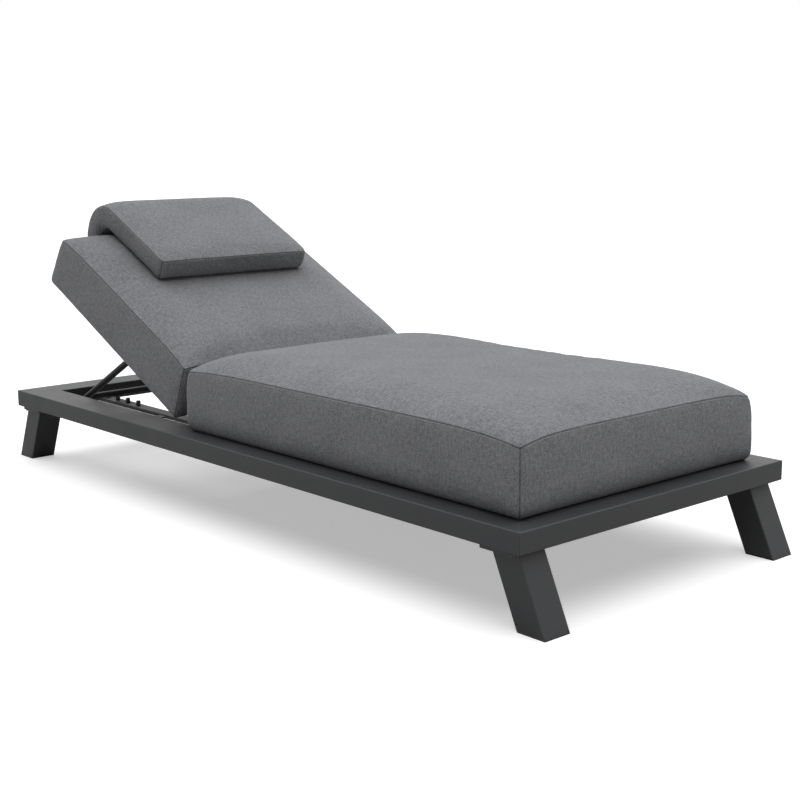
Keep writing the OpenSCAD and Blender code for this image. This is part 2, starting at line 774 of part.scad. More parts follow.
side_rail(-1);  // side_rail_left
side_rail(1);  // side_rail_right
end_rail(-1);  // foot_rail
end_rail(1);  // head_rail
hinge_cross_member();
leg(-1, -1);  // leg_foot_left
leg(1, -1);  // leg_foot_right
leg(-1, 1);  // leg_head_left
leg(1, 1);  // leg_head_right
leg_plate(-1, -1);  // leg_plate_foot_left
leg_plate(1, -1);  // leg_plate_foot_right
leg_plate(-1, 1);  // leg_plate_head_left
leg_plate(1, 1);  // leg_plate_head_right
leg_screws(-1, -1);  // leg_screws_foot_left
leg_screws(1, -1);  // leg_screws_foot_right
leg_screws(-1, 1);  // leg_screws_head_left
leg_screws(1, 1);  // leg_screws_head_right
foot_cap(-1, -1);  // foot_cap_foot_left
foot_cap(1, -1);  // foot_cap_foot_right
foot_cap(-1, 1);  // foot_cap_head_left
foot_cap(1, 1);  // foot_cap_head_right
slat_ledge(-1);  // slat_ledge_left
slat_ledge(1);  // slat_ledge_right
seat_slat(1);  // seat_slat_1
seat_slat(2);  // seat_slat_2
seat_slat(3);  // seat_slat_3
seat_slat(4);  // seat_slat_4
seat_slat(5);  // seat_slat_5
seat_slat(6);  // seat_slat_6
seat_slat(7);  // seat_slat_7
seat_slat(8);  // seat_slat_8
rack_bar(-1);  // rack_bar_left
rack_bar(1);  // rack_bar_right
rack_studs(-1);  // rack_studs_left
rack_studs(1);  // rack_studs_right
back_rest_bracket(-1);  // back_rest_bracket_left
back_rest_bracket(1);  // back_rest_bracket_right
hinge_ear(-1);  // hinge_ear_left
hinge_ear(1);  // hinge_ear_right
hinge_bolts();
hinge_nuts();
hinge_bushes();
back_side_tube(-1);  // back_side_tube_left
back_side_tube(1);  // back_side_tube_right
back_low_tube();
back_top_tube();
back_slat(1);  // back_slat_1
back_slat(2);  // back_slat_2
back_slat(3);  // back_slat_3
back_slat(4);  // back_slat_4
prop_arm(-1);  // prop_arm_left
prop_arm(1);  // prop_arm_right
prop_foot_bar();
prop_end_caps();
prop_bolts();
prop_nuts();
prop_spacers();
seat_cushion();
back_cushion();
head_pillow();
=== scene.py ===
# %% [markdown]
# # A spa relaxation lounger
#
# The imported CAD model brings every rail, leg, tube, bolt and stud at its own size and
# place. This script keeps those pieces and gives each one its finish. In the place of the
# plain solids of the seat cushion, the back cushion and the head pillow it makes sewn covers,
# and it adds the thin lines of the corner welds.
# Left is -X, the foot end is -Y, up is +Z, and every length is in metres.

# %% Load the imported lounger
import json
import math

import bmesh
import bpy
import numpy as np
from mathutils import Matrix, Vector, noise


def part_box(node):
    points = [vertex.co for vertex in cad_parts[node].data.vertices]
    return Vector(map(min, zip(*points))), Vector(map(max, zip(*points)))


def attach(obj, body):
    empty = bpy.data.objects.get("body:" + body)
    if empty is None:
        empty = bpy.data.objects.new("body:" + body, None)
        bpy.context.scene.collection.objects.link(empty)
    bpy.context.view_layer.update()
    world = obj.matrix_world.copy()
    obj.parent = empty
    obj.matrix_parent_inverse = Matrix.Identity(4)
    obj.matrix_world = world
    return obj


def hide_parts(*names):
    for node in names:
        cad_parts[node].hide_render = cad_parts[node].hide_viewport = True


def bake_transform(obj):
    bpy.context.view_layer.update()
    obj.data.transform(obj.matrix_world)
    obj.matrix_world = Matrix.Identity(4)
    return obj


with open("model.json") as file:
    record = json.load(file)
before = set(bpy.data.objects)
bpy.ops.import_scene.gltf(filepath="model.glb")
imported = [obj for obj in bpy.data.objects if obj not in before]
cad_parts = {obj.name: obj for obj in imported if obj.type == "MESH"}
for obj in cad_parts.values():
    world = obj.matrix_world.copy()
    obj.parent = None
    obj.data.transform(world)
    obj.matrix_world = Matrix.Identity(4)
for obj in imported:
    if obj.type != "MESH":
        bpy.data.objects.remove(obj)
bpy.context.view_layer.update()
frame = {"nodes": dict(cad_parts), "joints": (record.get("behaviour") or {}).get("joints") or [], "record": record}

MM = 0.001
# Keeps signs and divisions away from zero
TINY = 1e-9

# %% [markdown]
# ## The back's own directions
#
# The back leans, so its cushion and the pillow are easiest to shape lying flat, and are
# then turned into place by one matrix. The record's joints hold what that matrix needs: the
# hinge gives the place, and the pillow's slide gives the direction up the back.

# %% Turn the hinge and the slide into a matrix
joints = {joint["name"]: joint for joint in frame["joints"]}
hinge_at = Vector(joints["backrest_recline"]["pos_m"])
up_back = Vector(joints["pillow_slide"]["axis"])
out_of_back = Vector((0, -up_back.z, up_back.y))
ON_BACK = Matrix.Translation(hinge_at) @ Matrix(
    ((1, 0, 0), up_back, out_of_back)
).transposed().to_4x4()
back_angle = math.degrees(math.atan2(up_back.z, up_back.y))
print("the back leans", round(back_angle, 1), "degrees above level")


def measured_in(matrix, node):
    """Lowest and highest corner of a CAD node, measured in the directions of matrix."""
    inverse = matrix.inverted()
    points = np.array([inverse @ v.co for v in frame["nodes"][node].data.vertices])
    return Vector(points.min(0)), Vector(points.max(0))


# %% [markdown]
# ## Working in edit mode without a mouse
#
# Operators act on whatever is selected, and the loaded frame leaves its pieces selected.
# Each new piece therefore starts by clearing the selection, and faces or edges are picked
# by their place. These small helpers hold those habits.

# %% Helpers for edit mode
def start_alone():
    if bpy.context.object and bpy.context.object.mode != "OBJECT":
        bpy.ops.object.mode_set(mode="OBJECT")
    bpy.ops.object.select_all(action="DESELECT")


def make_active(piece):
    start_alone()
    piece.select_set(True)
    bpy.context.view_layer.objects.active = piece


def points_of(piece):
    points = np.zeros(len(piece.data.vertices) * 3)
    piece.data.vertices.foreach_get("co", points)
    return points.reshape(-1, 3)


def move_points(piece, points):
    piece.data.vertices.foreach_set("co", np.asarray(points, dtype=np.float32).ravel())
    piece.data.update()


def apply_modifier(piece, kind, **settings):
    make_active(piece)
    modifier = piece.modifiers.new(kind.title(), kind)
    for name, value in settings.items():
        setattr(modifier, name, value)
    bpy.ops.object.modifier_apply(modifier=modifier.name)


def place(piece, matrix):
    """Moves the mesh and leaves the object at the origin, as the frame's own pieces are."""
    piece.data.transform(matrix)
    piece.data.update()


# %% [markdown]
# ## A box of cloth, ready to be shaped
#
# A box cushion is cut from flat panels: a top, a bottom and a band round the sides. A cube
# has the same panels, so the cover starts as a cube of the cushion's size. Bisecting it by
# planes gives every panel straight rows of faces, closer together beside the seams, where
# the cloth bends most.

# %% Cut a cube into rows
ROW = 24 * MM
FIRST_ROW = 15 * MM


def rows_between(low, high):
    """Places for the cuts: one close to each end, then even rows between them."""
    span = high - low - 2 * FIRST_ROW
    count = max(1, round(span / ROW))
    return [low + FIRST_ROW + i * span / count for i in range(count + 1)]


def cloth_box(name, size):
    half_x, half_y, height = size["half_x"], size["half_y"], size["height"]
    start_alone()
    bpy.ops.mesh.primitive_cube_add(size=2, location=(0, 0, height / 2))
    piece = bpy.context.object
    piece.name = piece.data.name = name
    piece.scale = (half_x, half_y, height / 2)
    bpy.ops.object.transform_apply(location=True, rotation=True, scale=True)
    bpy.ops.object.mode_set(mode="EDIT")
    cuts = [((x, 0, 0), (1, 0, 0)) for x in rows_between(-half_x, half_x)]
    cuts += [((0, y, 0), (0, 1, 0)) for y in rows_between(-half_y, half_y)]
    cuts += [((0, 0, z), (0, 0, 1)) for z in rows_between(0, height)]
    for place_at, normal in cuts:
        bpy.ops.mesh.select_all(action="SELECT")
        bpy.ops.mesh.bisect(plane_co=place_at, plane_no=normal)
    bpy.ops.mesh.select_all(action="SELECT")
    bpy.ops.mesh.subdivide(number_cuts=1)
    bpy.ops.object.mode_set(mode="OBJECT")
    print(name, "cut into", len(piece.data.polygons), "faces")
    return piece


# %% [markdown]
# ## Marking the seams
#
# Thread runs where two panels meet: round the top, round the bottom and up each corner. The
# seams are marked before anything is bent, while they are still the straight edges of the
# box. A vertex group keeps the marks through every later step.

# %% Mark where the panels are sewn
# A point this near a side of the box lies on it
EDGE = 0.01 * MM


def mark_seams(piece, size):
    points = points_of(piece)
    on_x = np.isclose(abs(points[:, 0]), size["half_x"], atol=EDGE)
    on_y = np.isclose(abs(points[:, 1]), size["half_y"], atol=EDGE)
    on_top = np.isclose(points[:, 2], size["height"], atol=EDGE)
    on_floor = np.isclose(points[:, 2], 0, atol=EDGE)
    sewn = (on_x & on_y) | ((on_top | on_floor) & (on_x | on_y))
    group = piece.vertex_groups.new(name="sewn")
    group.add([int(i) for i in np.flatnonzero(sewn)], 1.0, "REPLACE")
    return sewn


# %% [markdown]
# ## The shape that foam gives the cover
#
# Foam pushes each panel out, and the seams hold it back. The top seam arches up between its
# corners, the top rises from it to a broad crown, and the band draws in where it nears the
# seam, most of all at the corners. The seat's foot corners sag a little further. Each of these
# is a short formula on the straight box, with xs and ys as the place between -1 and 1 across
# and along it, and up as the height between 0 and 1.

# %% Shape a box of cloth into a cushion
ARCH_POWER = 6
CROWN_POWER = 8
CORNER_POWER = 4


def fall(share, power):
    """1 in the middle, falling to 0 where the share reaches 1."""
    return 1 - np.minimum(1, abs(share)) ** power


def on_round_outline(x, y, half_x, half_y, radius):
    """A point on the box's outline, moved to an outline with round corners, and its normal."""
    along_x = np.clip((abs(x) - (half_x - radius)) / radius, 0, 1)
    along_y = np.clip((abs(y) - (half_y - radius)) / radius, 0, 1)
    on_x = abs(x) >= half_x - EDGE
    turning = (along_x > 0) & (along_y > 0)
    angle = np.where(on_x, along_y, 2 - along_x) * math.pi / 4
    angle = np.where(turning, angle, np.where(on_x, 0, math.pi / 2))
    normal = np.stack([np.cos(angle) * np.sign(x), np.sin(angle) * np.sign(y)], 1)
    centre = np.stack([
        np.where(turning | on_x, np.sign(x) * (half_x - radius), x),
        np.where(turning | ~on_x, np.sign(y) * (half_y - radius), y),
    ], 1)
    return centre + normal * radius[:, None], normal


def band_shift(x, y, z, size):
    """How far a point of the side band moves across and along."""
    half_x, half_y, under_r = size["half_x"], size["half_y"], size["under_r"]
    up = z / size["height"]
    under = np.clip(z / under_r, 0, 1) * math.pi / 2
    inset = under_r * (1 - np.sin(under)) + size["seam_in"] * up ** ARCH_POWER
    radius = size["corner_r"] + (size["top_corner_r"] - size["corner_r"]) * up ** CORNER_POWER
    moved, normal = on_round_outline(x, y, half_x, half_y, radius)
    return moved - normal * inset[:, None] - np.stack([x, y], 1)


def shape_cushion(piece, size):
    half_x, half_y, height = size["half_x"], size["half_y"], size["height"]
    points = points_of(piece)
    x, y, z = points.T
    xs, ys, up = x / half_x, y / half_y, z / height
    edge_x, edge_y = np.sign(x + TINY) * half_x, np.sign(y + TINY) * half_y
    band = (abs(x) >= half_x - EDGE) | (abs(y) >= half_y - EDGE)
    near_x, near_y = (abs(xs) ** ARCH_POWER)[:, None], (abs(ys) ** ARCH_POWER)[:, None]
    shift = near_x * band_shift(edge_x, y, z, size) + near_y * band_shift(x, edge_y, z, size)
    shift = shift - near_x * near_y * band_shift(edge_x, edge_y, z, size)
    shift = np.where(band[:, None], band_shift(x, y, z, size), shift)
    lean = up * (size["lean_low"] * (1 - ys) - size["lean_high"] * (1 + ys)) / 2
    under_r = size["under_r"]
    under = np.clip(z / under_r, 0, 1) * math.pi / 2
    low = np.where(band & (z < under_r), under_r * (1 - np.cos(under)), z)
    top = z >= height - EDGE
    crown = size["crown"] * fall(xs, CROWN_POWER) * fall(ys, CROWN_POWER)
    foot_corner = (1 - fall(xs * ys, ARCH_POWER)) * (ys < 0)
    seam_z = size["arch"] * fall(xs * ys, ARCH_POWER) - size["foot_drop"] * foot_corner
    new_z = low + up * seam_z + top * crown
    move_points(piece, np.stack([x + shift[:, 0], y + shift[:, 1] + lean, new_z], 1))


# %% [markdown]
# ## Letting cloth settle over the foam
#
# A formula is too even to pass for sewn cloth. A short cloth simulation blows the cover up a
# few millimetres while its seams are held, so each panel finds its own tension. Gravity is
# off, every point may move only a little way, and the result is written into the mesh.

# %% Blow the cover up a little
PRESSURE = 4
STEPS = 14


def let_cloth_settle(piece, held, limit):
    group = piece.vertex_groups.new(name="held")
    group.add([int(i) for i in np.flatnonzero(held)], 1.0, "REPLACE")
    before = points_of(piece)
    modifier = piece.modifiers.new("Settle", "CLOTH")
    cloth = modifier.settings
    cloth.quality = 5
    cloth.mass = 0.3
    cloth.tension_stiffness = 25
    cloth.compression_stiffness = 25
    cloth.shear_stiffness = 8
    cloth.bending_stiffness = 1.5
    cloth.shrink_min = -0.006
    cloth.use_pressure = True
    cloth.uniform_pressure_force = PRESSURE
    cloth.vertex_group_mass = "held"
    cloth.effector_weights.gravity = 0
    modifier.collision_settings.use_collision = False
    scene = bpy.context.scene
    for step in range(1, STEPS + 1):
        scene.frame_set(step)
    settled = piece.evaluated_get(bpy.context.evaluated_depsgraph_get())
    after = np.zeros(len(settled.data.vertices) * 3)
    settled.data.vertices.foreach_get("co", after)
    piece.modifiers.remove(modifier)
    scene.frame_set(1)
    moved = after.reshape(-1, 3) - before
    length = np.linalg.norm(moved, axis=1, keepdims=True) + TINY
    share = np.tanh(length / limit)
    move_points(piece, before + moved / length * limit * share)
    print(piece.name, "settled by up to", round(float(share.max()) * limit / MM, 1), "mm")


def unevenness(piece, amount, width, held):
    """Foam is never quite even: slow bumps, a hand's span wide, on what isn't held."""
    points = points_of(piece)
    piece.data.update()
    normals = np.array([v.normal for v in piece.data.vertices])
    lift = np.array([noise.noise(Vector(p) / width) for p in points])
    lift = lift * amount * ~held
    move_points(piece, points + normals * lift[:, None])


# %% [markdown]
# ## Sewing the seams
#
# On the real cover two raw edges are sewn inside, and the thread pulls a narrow groove in
# the cloth. Bevelling the marked edges in four steps lays five rows of points along each
# seam. The middle row is pulled in deepest, the rows beside it half as far, and an attribute
# remembers how deep each one lies, for the painted shade that darkens the groove's colour.

# %% Sew along the marked edges
SEAM_HALF_W = 2.4 * MM
SEAM_DEPTH = 2.0 * MM
BESIDE_SHARE = 0.5
SEWN = 0.999


def sew(piece):
    make_active(piece)
    bpy.ops.object.mode_set(mode="EDIT")
    bpy.ops.mesh.select_mode(type="EDGE")
    bpy.ops.mesh.select_all(action="DESELECT")
    mesh = bmesh.from_edit_mesh(piece.data)
    weights = mesh.verts.layers.deform.active
    group = piece.vertex_groups["sewn"].index
    for edge in mesh.edges:
        if all(v[weights].get(group, 0) > SEWN for v in edge.verts):
            edge.select_set(True)
    bmesh.update_edit_mesh(piece.data)
    bpy.ops.mesh.bevel(offset=SEAM_HALF_W, segments=4, affect="EDGES", clamp_overlap=False)
    mesh = bmesh.from_edit_mesh(piece.data)
    # The seam attribute holds each point's depth, which sets the painted shade in the groove
    depth = mesh.verts.layers.float.new("seam")
    strip = {v for v in mesh.verts if v.link_faces and all(f.select for f in v.link_faces)}
    beside = {v for v in strip if any(e.other_vert(v) not in strip for e in v.link_edges)}
    mesh.normal_update()
    moves = [(v, v.normal.copy(), BESIDE_SHARE if v in beside else 1.0) for v in strip]
    for vertex, normal, share in moves:
        vertex.co -= normal * SEAM_DEPTH * share
        vertex[depth] = share
    bmesh.update_edit_mesh(piece.data)
    bpy.ops.object.mode_set(mode="OBJECT")
    print(piece.name, "sewn along", len(strip) - len(beside), "points")


# %% [markdown]
# ## Laying out the weave
#
# The weave follows each panel of cloth, so the cover gets a UV map in real metres. Each face
# is laid out from the side it faces most, while the cushion still lies flat in its own
# directions: the top and bottom from above, the band from its side.

# %% Lay the panels out in metres
def lay_out_panels(piece, flat_points):
    layer = piece.data.uv_layers.new(name="cloth")
    for face in piece.data.polygons:
        corners = [Vector(flat_points[i]) for i in face.vertices]
        normal = (corners[2] - corners[0]).cross(corners[-1] - corners[1])
        size = [abs(c) for c in normal]
        across = size.index(max(size))
        for loop, corner in zip(face.loop_indices, corners):
            if across == 2:
                layer.data[loop].uv = (corner.x, corner.y)
            elif across == 0:
                layer.data[loop].uv = (corner.y, corner.z)
            else:
                layer.data[loop].uv = (corner.x, corner.z)


# %% [markdown]
# ## The grey fabric
#
# The covers are an outdoor fabric in grey heather: dark and light yarns spun together and
# woven plain. Seen close it is a fine grid of threads, from a step away it is flecked, and
# thicker yarns leave faint streaks along both thread directions. The colour is built from
# the streaks, from flecks of two sizes and from slow clouds. The same mix and the grid of
# threads raise the surface.

# %% Helpers for materials
# A Mix node has its own inputs and output for each kind of data
FACTOR = 0
FIRST_NUMBER, SECOND_NUMBER, MIXED_NUMBER = 2, 3, 0
FIRST_COLOUR, SECOND_COLOUR, MIXED_COLOUR = 6, 7, 2


def grey(value):
    return (value, value, value, 1)


def new_material(name):
    material = bpy.data.materials.new(name)
    material.use_nodes = True
    shader = material.node_tree.nodes["Principled BSDF"]
    return material, shader


def node_adder(owner):
    """Two short functions that add and link the nodes of a material or a world."""
    tree = owner.node_tree

    def add(kind, **settings):
        node = tree.nodes.new(kind)
        for name, value in settings.items():
            if name in node.inputs.keys():
                node.inputs[name].default_value = value
            else:
                setattr(node, name, value)
        return node

    return add, tree.links.new


def blend_of(add, link, first, second, share):
    mix = add("ShaderNodeMix", data_type="FLOAT")
    mix.inputs[FACTOR].default_value = share
    link(first, mix.inputs[FIRST_NUMBER])
    link(second, mix.inputs[SECOND_NUMBER])
    return mix.outputs[MIXED_NUMBER]


def two_tone(add, link, value, dark_at, dark, light_at, light):
    """A colour that runs from dark to light while the value runs between two places."""
    ramp = add("ShaderNodeValToRGB")
    elements = ramp.color_ramp.elements
    elements[0].position = dark_at
    elements[0].color = (*dark, 1)
    elements[1].position = light_at
    elements[1].color = (*light, 1)
    link(value, ramp.inputs["Fac"])
    return ramp.outputs["Color"]


# %% Mix the fabric
THREAD = 1.1 * MM
STREAK_W = 3.4 * MM
STREAK_L = 18 * MM
FLECK = 9 * MM
FINE_FLECK = 3.2 * MM
CLOUD = 120 * MM
YARN_DARK_AT, YARN_LIGHT_AT = 0.41, 0.59
# Painted shade in the seam grooves: the colour at a groove's bottom is this share of the cloth's
SEAM_PAINTED_SHADE = 0.58
WEFT_SHARE = 0.35
MOTTLED_SHARE = 0.45
FINE_SHARE = 0.36
CLOUDY_SHARE = 0.09


def heather_fabric(name, dark, light):
    material, shader = new_material(name)
    add, link = node_adder(material)
    uv = add("ShaderNodeUVMap", uv_map="cloth")

    def flecks(size_u, size_v, detail=3.0, roughness=0.6):
        stretch = add("ShaderNodeMapping")
        stretch.inputs["Scale"].default_value = (1 / size_u, 1 / size_v, 1)
        pattern = add("ShaderNodeTexNoise", Scale=1.0, Detail=detail, Roughness=roughness)
        link(uv.outputs["UV"], stretch.inputs["Vector"])
        link(stretch.outputs["Vector"], pattern.inputs["Vector"])
        return pattern.outputs["Fac"]

    warp_streaks = flecks(STREAK_W, STREAK_L)
    weft_streaks = flecks(STREAK_L, STREAK_W)
    mottled = flecks(FLECK, FLECK, detail=4.0, roughness=0.65)
    fine = flecks(FINE_FLECK, FINE_FLECK, detail=1.0)
    cloudy = flecks(CLOUD, CLOUD, detail=2.0, roughness=0.5)
    yarns = blend_of(add, link, warp_streaks, weft_streaks, WEFT_SHARE)
    yarns = blend_of(add, link, yarns, mottled, MOTTLED_SHARE)
    yarns = blend_of(add, link, yarns, fine, FINE_SHARE)
    yarns = blend_of(add, link, yarns, cloudy, CLOUDY_SHARE)
    heather = two_tone(add, link, yarns, YARN_DARK_AT, dark, YARN_LIGHT_AT, light)

    # Painted shade: the seam groove's colour is darkened by its depth, standing in for the shade in the groove
    seam = add("ShaderNodeAttribute", attribute_name="seam")
    shade = add("ShaderNodeMix", data_type="RGBA", blend_type="MULTIPLY")
    shade.inputs[SECOND_COLOUR].default_value = grey(SEAM_PAINTED_SHADE)
    link(seam.outputs["Fac"], shade.inputs[FACTOR])
    link(heather, shade.inputs[FIRST_COLOUR])
    link(shade.outputs[MIXED_COLOUR], shader.inputs["Base Color"])

    # Over and under threads of a plain weave
    split = add("ShaderNodeSeparateXYZ")
    link(uv.outputs["UV"], split.inputs[0])

    def ripple(output):
        turn = add("ShaderNodeMath", operation="MULTIPLY")
        turn.inputs[1].default_value = math.pi / THREAD
        link(output, turn.inputs[0])
        wave = add("ShaderNodeMath", operation="SINE")
        link(turn.outputs[0], wave.inputs[0])
        return wave.outputs[0]

    weave = add("ShaderNodeMath", operation="MULTIPLY")
    link(ripple(split.outputs["X"]), weave.inputs[0])
    link(ripple(split.outputs["Y"]), weave.inputs[1])
    threads = add("ShaderNodeBump", Strength=0.35, Distance=0.25 * MM)
    link(weave.outputs[0], threads.inputs["Height"])
    slubs = add("ShaderNodeBump", Strength=0.5, Distance=0.5 * MM)
    link(yarns, slubs.inputs["Height"])
    link(threads.outputs["Normal"], slubs.inputs["Normal"])
    link(slubs.outputs["Normal"], shader.inputs["Normal"])
    shader.inputs["Roughness"].default_value = 0.92
    shader.inputs["Specular IOR Level"].default_value = 0.2
    shader.inputs["Sheen Weight"].default_value = 0.12
    shader.inputs["Sheen Roughness"].default_value = 0.6
    return material


fabric = heather_fabric(
    "grey_heather_fabric", dark=(0.113, 0.115, 0.122), light=(0.254, 0.257, 0.272))


# %% [markdown]
# ## Making and finishing a cover
#
# All three covers are made the same way. A box of cloth is cut, marked and shaped, then made
# uneven and settled with its seams held. The seat's and the back's undersides are held too,
# and their crowns start a little low, so that the cloth has room to swell. The cage that
# comes out is smoothed by one subdivision with its seams kept crisp by creases, then sewn,
# then given its fabric.

# %% From box to cage
RESTING_H = 6 * MM
SWELLING_ROOM = 2 * MM


def make_cage(name, size, bumps, bump_width, limit, rests=True):
    piece = cloth_box(name, size)
    held = mark_seams(piece, size)
    shape_cushion(piece, size)
    if rests:
        held = held | (points_of(piece)[:, 2] < RESTING_H)
    unevenness(piece, bumps, bump_width, held)
    let_cloth_settle(piece, held, limit)
    return piece


# %% From cage to cover
SEAM_CREASE = 0.55


def finish_cover(piece, matrix, bend=None):
    make_active(piece)
    creases = piece.data.attributes.new("crease_edge", "FLOAT", "EDGE")
    group = piece.vertex_groups["sewn"].index
    sewn = [any(g.group == group and g.weight > SEWN for g in v.groups)
            for v in piece.data.vertices]
    ends = np.zeros(len(piece.data.edges) * 2, dtype=int)
    piece.data.edges.foreach_get("vertices", ends)
    both = np.array(sewn)[ends.reshape(-1, 2)].all(1)
    creases.data.foreach_set("value", both.astype(np.float32) * SEAM_CREASE)
    apply_modifier(piece, "SUBSURF", levels=1, render_levels=1)
    sew(piece)
    lay_out_panels(piece, points_of(piece))
    if bend:
        move_points(piece, bend(points_of(piece)))
    place(piece, matrix)
    for polygon in piece.data.polygons:
        polygon.use_smooth = True
    piece.data.materials.append(fabric)


# %% [markdown]
# ## The seat cushion
#
# A thick box cushion on the slats. Its size is the space that its CAD solid holds. Where its
# top seam arches highest, it lies a crown's height below the solid's highest point.

# %% Make the seat cushion
SEAT_ARCH = 12.5 * MM
SEAT_CROWN = 42 * MM
low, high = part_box("seat_cushion")
seat = {
    "half_x": (high.x - low.x) / 2,
    "half_y": (high.y - low.y) / 2,
    "height": high.z - low.z - SEAT_ARCH - SEAT_CROWN,
    "arch": SEAT_ARCH,
    "crown": SEAT_CROWN - SWELLING_ROOM,
    "lean_low": 0,
    "lean_high": 0,
    "corner_r": 10 * MM,
    "top_corner_r": 26 * MM,
    "under_r": 20 * MM,
    "seam_in": 3 * MM,
    "foot_drop": 7 * MM,
}
seat_cover = make_cage(
    "seat_cushion_cover", seat, bumps=1.6 * MM, bump_width=200 * MM, limit=4 * MM)
seat_at = Matrix.Translation(((low.x + high.x) / 2, (low.y + high.y) / 2, low.z))
finish_cover(seat_cover, seat_at)
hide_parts("seat_cushion")
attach(seat_cover, "root")

# %% [markdown]
# ## The back cushion
#
# The same kind of cushion, lying on the back frame. It is shaped flat and then turned by the
# back's matrix.

# %% Make the back cushion
BACK_ARCH = 9 * MM
BACK_CROWN = 28 * MM
low, high = measured_in(ON_BACK, "back_cushion")
back = {
    "half_x": (high.x - low.x) / 2,
    "half_y": (high.y - low.y) / 2,
    "height": high.z - low.z - BACK_ARCH - BACK_CROWN,
    "arch": BACK_ARCH,
    "crown": BACK_CROWN - SWELLING_ROOM,
    "lean_low": 9 * MM,
    "lean_high": 17 * MM,
    "corner_r": 10 * MM,
    "top_corner_r": 12 * MM,
    "under_r": 14 * MM,
    "seam_in": 3 * MM,
    "foot_drop": 0,
}
back_cover = make_cage(
    "back_cushion_cover", back, bumps=1.6 * MM, bump_width=200 * MM, limit=4 * MM)
back_at = Matrix.Translation(((low.x + high.x) / 2, (low.y + high.y) / 2, low.z))
finish_cover(back_cover, ON_BACK @ back_at)
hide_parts("back_cushion")
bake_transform(back_cover)

# %% [markdown]
# ## The head pillow
#
# A slimmer box cushion that lies on the back and hooks over its end. It is cut, shaped and
# sewn straight, because straight panels are easy to lay out, and is then bent: points past
# the run are wound round the hook's centre, and those past the bend go straight on.

# %% Bend a straight pillow over the end of the back
PILLOW_T = 59 * MM
PILLOW_ARCH = 4 * MM
PILLOW_CROWN = 11 * MM
HOOK_R = 32 * MM
HOOK_DROP = 48 * MM

low, high = measured_in(ON_BACK, "head_pillow")
outer_r = HOOK_R + PILLOW_T + PILLOW_CROWN
hook_u, hook_n = high.y - outer_r, high.z - outer_r
middle_r = HOOK_R + PILLOW_T / 2
run = hook_u - low.y
winding = middle_r * math.pi / 2
pillow_l = run + winding + HOOK_DROP


def bend_over_end(points):
    x, y, z = points.T
    along = y + pillow_l / 2
    angle = np.clip((along - run) / middle_r, 0, math.pi / 2)
    out = middle_r + z - PILLOW_T / 2
    before = np.minimum(along - run, 0)
    after = np.maximum(along - run - winding, 0)
    u = hook_u + before + out * np.sin(angle)
    n = hook_n + out * np.cos(angle) - after
    return np.stack([x, u, n], 1)


# %% Make the head pillow
pillow = {
    "half_x": (high.x - low.x) / 2,
    "half_y": pillow_l / 2,
    "height": PILLOW_T - PILLOW_ARCH / 2,
    "arch": PILLOW_ARCH,
    "crown": PILLOW_CROWN - PILLOW_ARCH / 2,
    "lean_low": 0,
    "lean_high": 0,
    "corner_r": 16 * MM,
    "top_corner_r": 22 * MM,
    "under_r": 18 * MM,
    "seam_in": 1 * MM,
    "foot_drop": 0,
}
pillow_cover = make_cage(
    "head_pillow_cover", pillow, bumps=1.0 * MM, bump_width=150 * MM, limit=3 * MM,
    rests=False)
finish_cover(pillow_cover, ON_BACK, bend=bend_over_end)
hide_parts("head_pillow")
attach(pillow_cover, "pillow")

# %% [markdown]
# ## Powder coat and plastic
#
# The frame is metal tube under a fine-textured anthracite powder coat. Powder melts into a
# skin with a slight grain, so it scatters light softly and shows a faint mottle. Its edges
# are rounded, and painted paler as a painted highlight. The prop and the fasteners are
# blacker, and the caps and bushes are moulded nylon. One function makes them all, with its
# grain on Object coordinates.

# %% Mix the coatings
EDGE_R = 3 * MM
# Painted highlight along the edges: how much of it is painted, and how many times paler
EDGE_HIGHLIGHT_SHARE = 0.7
EDGE_HIGHLIGHT_LIFT = 3.2
EDGE_TURN = 0.8
MOTTLE_SCALE = 9.0
FINE_GRAIN_SHARE = 0.4
NOISE_LOW, NOISE_HIGH = 0.3, 0.7
ROUGHNESS_SPREAD = 0.05


